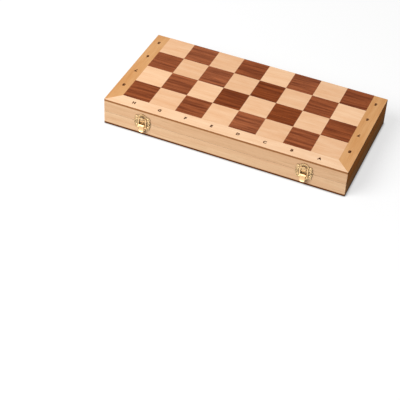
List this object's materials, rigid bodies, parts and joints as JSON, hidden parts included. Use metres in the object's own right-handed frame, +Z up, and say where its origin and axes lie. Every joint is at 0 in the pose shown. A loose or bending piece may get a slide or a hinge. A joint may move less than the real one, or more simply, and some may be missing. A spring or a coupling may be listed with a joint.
{
  "type": "folding chess box",
  "caption": "Folding wooden chess box: two hinged trays whose outer faces form a veneered board, with ornate brass toggle latches on the front edge.",
  "frame": {"origin": "centre of the wooden case on the face that it rests on, closed", "axes": "+X to the right along the front and the hinge line, +Y from the latches to the hinges, +Z up"},
  "size_m": [0.405, 0.2116, 0.047],
  "materials": {
    "rail_wood": "planed solid maple, satin lacquer, grain along each rail",
    "maple_border": "maple veneer strips with mitred front corners, satin lacquer",
    "maple_veneer": "maple veneer, satin lacquer",
    "mahogany_veneer": "mahogany veneer with straight dark pores, satin lacquer",
    "fibreboard": "brown pressed fibreboard, seen at its edge",
    "felt": "dark green wool felt",
    "hinge_brass": "satin drawn brass",
    "screw_brass": "turned brass",
    "latch_brass": "stamped and brightly polished brass"
  },
  "bodies": {
    "box": {"box_back_rail": "rail_wood", "box_felt": "felt", "box_front_border": "maple_border", "box_front_rail": "rail_wood", "box_hinge_screws": "screw_brass", "box_latch_nails": "latch_brass", "box_left_border": "maple_border", "box_left_rail": "rail_wood", "box_mahogany_squares": "mahogany_veneer", "box_maple_squares": "maple_veneer", "box_panel": "fibreboard", "box_right_border": "maple_border", "box_right_rail": "rail_wood", "left_hinge_box_leaf": "hinge_brass", "right_hinge_box_leaf": "hinge_brass", "left_hinge_pin": "hinge_brass", "right_hinge_pin": "hinge_brass", "left_latch_keeper_plate": "latch_brass", "right_latch_keeper_plate": "latch_brass", "left_latch_lever_pin": "latch_brass", "right_latch_lever_pin": "latch_brass"},
    "lid": {"lid_back_rail": "rail_wood", "lid_felt": "felt", "lid_front_border": "maple_border", "lid_front_rail": "rail_wood", "lid_hinge_screws": "screw_brass", "lid_latch_nails": "latch_brass", "lid_left_border": "maple_border", "lid_left_rail": "rail_wood", "lid_mahogany_squares": "mahogany_veneer", "lid_maple_squares": "maple_veneer", "lid_panel": "fibreboard", "lid_right_border": "maple_border", "lid_right_rail": "rail_wood", "left_hinge_lid_leaf": "hinge_brass", "right_hinge_lid_leaf": "hinge_brass", "left_latch_catch_plate": "latch_brass", "right_latch_catch_plate": "latch_brass"},
    "left_lever": {"left_latch_lever": "latch_brass"},
    "left_loop": {"left_latch_loop": "latch_brass", "left_latch_loop_pin": "latch_brass"},
    "right_lever": {"right_latch_lever": "latch_brass"},
    "right_loop": {"right_latch_loop": "latch_brass", "right_latch_loop_pin": "latch_brass"}
  },
  "joints": [
    {"name": "lid_hinge", "type": "hinge", "parent": "box", "child": "lid", "pos_m": [0, 0.1014, 0.0235], "axis": [-1, 0, 0], "range_deg": [0, 180]},
    {"name": "left_lever_hinge", "type": "hinge", "parent": "box", "child": "left_lever", "pos_m": [-0.135, -0.10505, 0.0196], "axis": [-1, 0, 0], "range_deg": [0, 150]},
    {"name": "left_loop_hinge", "type": "hinge", "parent": "left_lever", "child": "left_loop", "pos_m": [-0.135, -0.10395, 0.0158], "axis": [1, 0, 0], "range_deg": [0, 330]},
    {"name": "right_lever_hinge", "type": "hinge", "parent": "box", "child": "right_lever", "pos_m": [0.135, -0.10505, 0.0196], "axis": [-1, 0, 0], "range_deg": [0, 150]},
    {"name": "right_loop_hinge", "type": "hinge", "parent": "right_lever", "child": "right_loop", "pos_m": [0.135, -0.10395, 0.0158], "axis": [1, 0, 0], "range_deg": [0, 330]}
  ],
  "couplings": [
    {"joint": "left_loop_hinge", "follows": "left_lever_hinge", "ratio": 2.2},
    {"joint": "right_loop_hinge", "follows": "right_lever_hinge", "ratio": 2.2}
  ]
}
